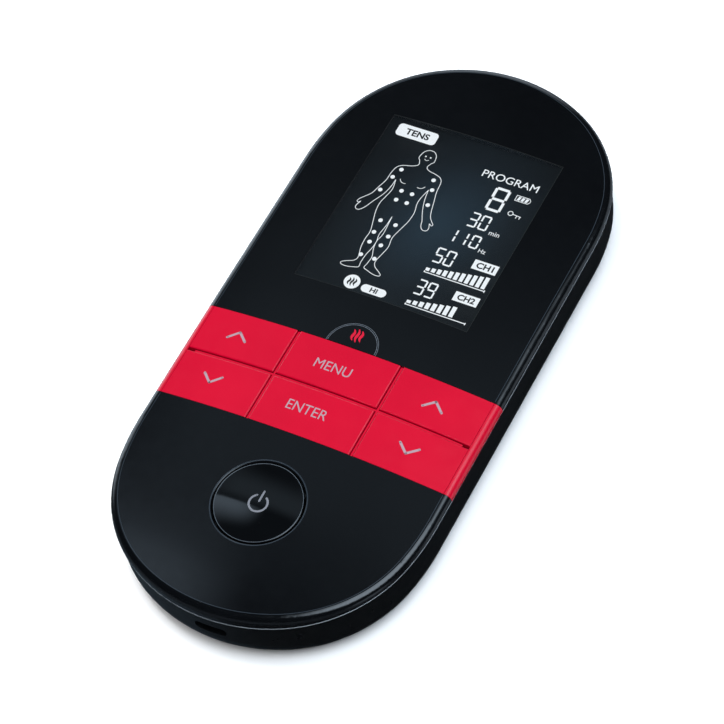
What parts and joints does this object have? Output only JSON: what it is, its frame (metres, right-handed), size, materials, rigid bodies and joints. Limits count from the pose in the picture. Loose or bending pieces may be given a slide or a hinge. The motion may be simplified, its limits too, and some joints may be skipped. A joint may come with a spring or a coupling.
{
  "type": "tens unit",
  "caption": "Hand-held nerve-stimulation unit: black rounded case with a backlit display, a red key band, a round power button and two electrode sockets.",
  "frame": {"origin": "centre of the underside, where the unit rests", "axes": "+X across the width, +Y towards the display end with the electrode sockets, +Z out of the face"},
  "size_m": [0.066, 0.139, 0.017],
  "materials": {
    "face_black": "high-gloss black moulding with a faint blue-grey reflection",
    "button_black": "domed high-gloss black cap with a light grey printed symbol",
    "case_black": "satin black moulding with a fine grain",
    "key_red": "satin crimson moulding with light grey printed symbols",
    "clear_window": "clear hard-coated pane",
    "lcd": "dark blue-grey negative liquid crystal glass with white segments",
    "white_plastic": "natural white nylon and light guide",
    "elastomer": "striped grey elastomer",
    "board_green": "green solder mask on glass fibre",
    "ferrite": "sintered ferrite",
    "copper_winding": "enamelled copper winding",
    "capacitor_can": "aluminium can",
    "chip_black": "moulded epoxy",
    "chip_ceramic": "ceramic chips with tinned ends",
    "socket_black": "black nylon",
    "socket_steel": "nickel-plated folded steel",
    "spring_steel": "stainless snap domes",
    "screw_steel": "zinc-plated steel",
    "cell_wrap": "aluminium laminate pouch",
    "foam": "black closed-cell foam",
    "lead_red": "red insulation",
    "lead_black": "black insulation"
  },
  "bodies": {
    "case": {"front_cover": "face_black", "display_window": "clear_window", "keypad_frame": "key_red", "switch_domes": "spring_steel", "lcd_glass": "lcd", "lcd_backlight": "white_plastic", "lcd_holder": "white_plastic", "lcd_connector_strip": "elastomer", "main_board": "board_green", "transformer_core_1": "ferrite", "transformer_winding_1": "copper_winding", "transformer_core_2": "ferrite", "transformer_winding_2": "copper_winding", "output_capacitors": "capacitor_can", "buzzer": "chip_black", "chip_parts": "chip_ceramic", "microcontroller": "chip_black", "boost_inductor": "ferrite", "output_jack_1": "socket_black", "output_jack_2": "socket_black", "usb_socket": "socket_steel", "usb_tongue": "socket_black", "battery_cell": "cell_wrap", "battery_pad": "foam", "battery_connector": "white_plastic", "battery_lead_red": "lead_red", "battery_lead_black": "lead_black", "rear_cover": "case_black", "case_screws": "screw_steel"},
    "key_left_up": {"key_left_up": "key_red"},
    "key_left_down": {"key_left_down": "key_red"},
    "key_menu": {"key_menu": "key_red"},
    "key_enter": {"key_enter": "key_red"},
    "key_right_up": {"key_right_up": "key_red"},
    "key_right_down": {"key_right_down": "key_red"},
    "heat_key": {"heat_key": "face_black"},
    "power_button": {"power_button": "button_black"}
  },
  "joints": [
    {"name": "key_left_up_press", "type": "slide", "parent": "case", "child": "key_left_up", "axis": [0, 0, -1], "range_m": [0, 0.0004], "stiffness_N_per_m": 3000},
    {"name": "key_left_down_press", "type": "slide", "parent": "case", "child": "key_left_down", "axis": [0, 0, -1], "range_m": [0, 0.0004], "stiffness_N_per_m": 3000},
    {"name": "key_menu_press", "type": "slide", "parent": "case", "child": "key_menu", "axis": [0, 0, -1], "range_m": [0, 0.0004], "stiffness_N_per_m": 3000},
    {"name": "key_enter_press", "type": "slide", "parent": "case", "child": "key_enter", "axis": [0, 0, -1], "range_m": [0, 0.0004], "stiffness_N_per_m": 3000},
    {"name": "key_right_up_press", "type": "slide", "parent": "case", "child": "key_right_up", "axis": [0, 0, -1], "range_m": [0, 0.0004], "stiffness_N_per_m": 3000},
    {"name": "key_right_down_press", "type": "slide", "parent": "case", "child": "key_right_down", "axis": [0, 0, -1], "range_m": [0, 0.0004], "stiffness_N_per_m": 3000},
    {"name": "heat_key_press", "type": "slide", "parent": "case", "child": "heat_key", "axis": [0, 0, -1], "range_m": [0, 0.0004], "stiffness_N_per_m": 3000},
    {"name": "power_button_press", "type": "slide", "parent": "case", "child": "power_button", "axis": [0, 0, -1], "range_m": [0, 0.0004], "stiffness_N_per_m": 3000}
  ]
}
